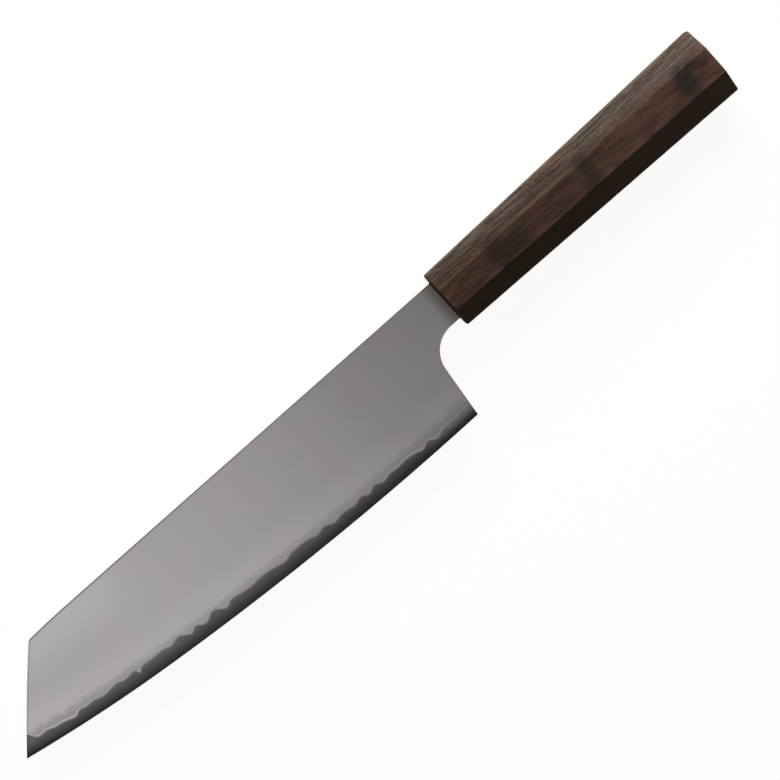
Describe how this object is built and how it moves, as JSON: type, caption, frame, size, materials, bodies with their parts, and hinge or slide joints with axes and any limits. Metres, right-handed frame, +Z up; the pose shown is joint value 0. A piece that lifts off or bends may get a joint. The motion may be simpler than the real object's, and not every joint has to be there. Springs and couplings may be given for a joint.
{
  "type": "kiritsuke knife",
  "caption": "Kitchen knife with a straight-cut tip, a three-layer blade with a wavy line over its edge, and an octagonal tapered wood handle.",
  "frame": {"origin": "on the floor under the middle of the knife's box, with the knife lying on its right side", "axes": "+X from the tip to the butt, along the spine; +Y from the edge to the spine; +Z up, from the blade's right side to its left side"},
  "size_m": [0.3446, 0.053, 0.0215],
  "materials": {
    "core_steel": "dark satin, ground along the edge",
    "cladding_steel": "fine satin, ground from spine to edge",
    "handle_wood": "oiled dark hardwood with open grain",
    "dowel_wood": "dark hardwood, end grain",
    "adhesive": "cured epoxy",
    "seal": "black sealing bead"
  },
  "bodies": {
    "root": {"core_steel": "core_steel", "left_cladding": "cladding_steel", "right_cladding": "cladding_steel", "handle_body": "handle_wood", "tang_dowel": "dowel_wood", "tang_adhesive": "adhesive", "neck_seal": "seal"}
  },
  "joints": []
}
